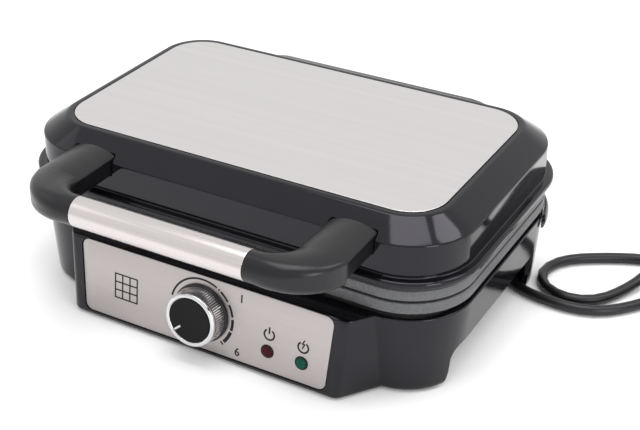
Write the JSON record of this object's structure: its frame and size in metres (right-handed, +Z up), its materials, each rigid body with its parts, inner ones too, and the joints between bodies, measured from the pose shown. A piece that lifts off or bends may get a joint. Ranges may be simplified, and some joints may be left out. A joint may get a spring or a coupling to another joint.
{
  "type": "waffle maker",
  "caption": "Electric waffle maker with a hinged steel-topped lid, bar handle, pegged cooking plates, browning dial, lamps and a mains lead with plug.",
  "frame": {"origin": "on the surface it stands on, under the middle of the body's box, leaving out the free lead, its coil and the plug", "axes": "+X to the right seen from the dial, +Y towards the hinge, +Z up"},
  "size_m": [0.4793, 0.3216, 0.109],
  "materials": {
    "glossy_plastic": "moulded, glossy blue-black",
    "satin_plastic": "moulded, satin black",
    "brushed_steel": "fine brushed along its length",
    "sheet_steel": "plain cold-rolled",
    "element_steel": "heat-darkened sheath",
    "cast_coating": "die-cast with a dark grey non-stick coating",
    "chrome": "polished",
    "ceramic": "unglazed off-white insulator",
    "rubber": "soft matt black",
    "red_lens": "clear moulded, dark red",
    "green_lens": "clear moulded, green",
    "lamp_glass": "clear bulb"
  },
  "bodies": {
    "base": {"base_inner_frame": "satin_plastic", "base_shell": "glossy_plastic", "bottom_cover": "satin_plastic", "control_panel": "brushed_steel", "cord_gland": "rubber", "cover_screw_1": "sheet_steel", "cover_screw_2": "sheet_steel", "cover_screw_3": "sheet_steel", "cover_screw_4": "sheet_steel", "foot_front_left": "rubber", "foot_front_right": "rubber", "foot_rear_left": "rubber", "foot_rear_right": "rubber", "green_lamp": "lamp_glass", "green_lens": "green_lens", "hinge_pin_left": "sheet_steel", "hinge_pin_right": "sheet_steel", "lower_cooking_plate": "cast_coating", "lower_heat_shield": "sheet_steel", "lower_heating_element": "element_steel", "plug_body": "rubber", "plug_pin_left": "chrome", "plug_pin_right": "chrome", "power_cord": "rubber", "power_cord_coil": "rubber", "red_lamp": "lamp_glass", "red_lens": "red_lens", "terminal_block": "ceramic", "thermal_fuse": "ceramic", "thermostat_body": "ceramic", "thermostat_bracket": "sheet_steel"},
    "lid": {"lid_shell": "glossy_plastic", "lid_top_plate": "brushed_steel", "lid_inner_frame": "glossy_plastic", "upper_cooking_plate": "cast_coating", "upper_heating_element": "element_steel", "upper_heat_shield": "sheet_steel", "lid_hinge_block": "glossy_plastic", "handle_arm_left": "satin_plastic", "handle_arm_right": "satin_plastic", "handle_rod": "sheet_steel", "handle_sleeve": "brushed_steel"},
    "knob": {"knob_body": "satin_plastic", "knob_ring": "chrome", "knob_cap": "satin_plastic", "thermostat_shaft": "sheet_steel"}
  },
  "joints": [
    {"name": "lid_hinge", "type": "hinge", "parent": "base", "child": "lid", "pos_m": [0, 0.1232, 0.061], "axis": [-1, 0, 0], "range_deg": [0, 95]},
    {"name": "knob_turn", "type": "hinge", "parent": "base", "child": "knob", "pos_m": [0, -0.09274, 0.02783], "axis": [0, 0.9926, -0.1216], "range_deg": [0, 267]}
  ]
}
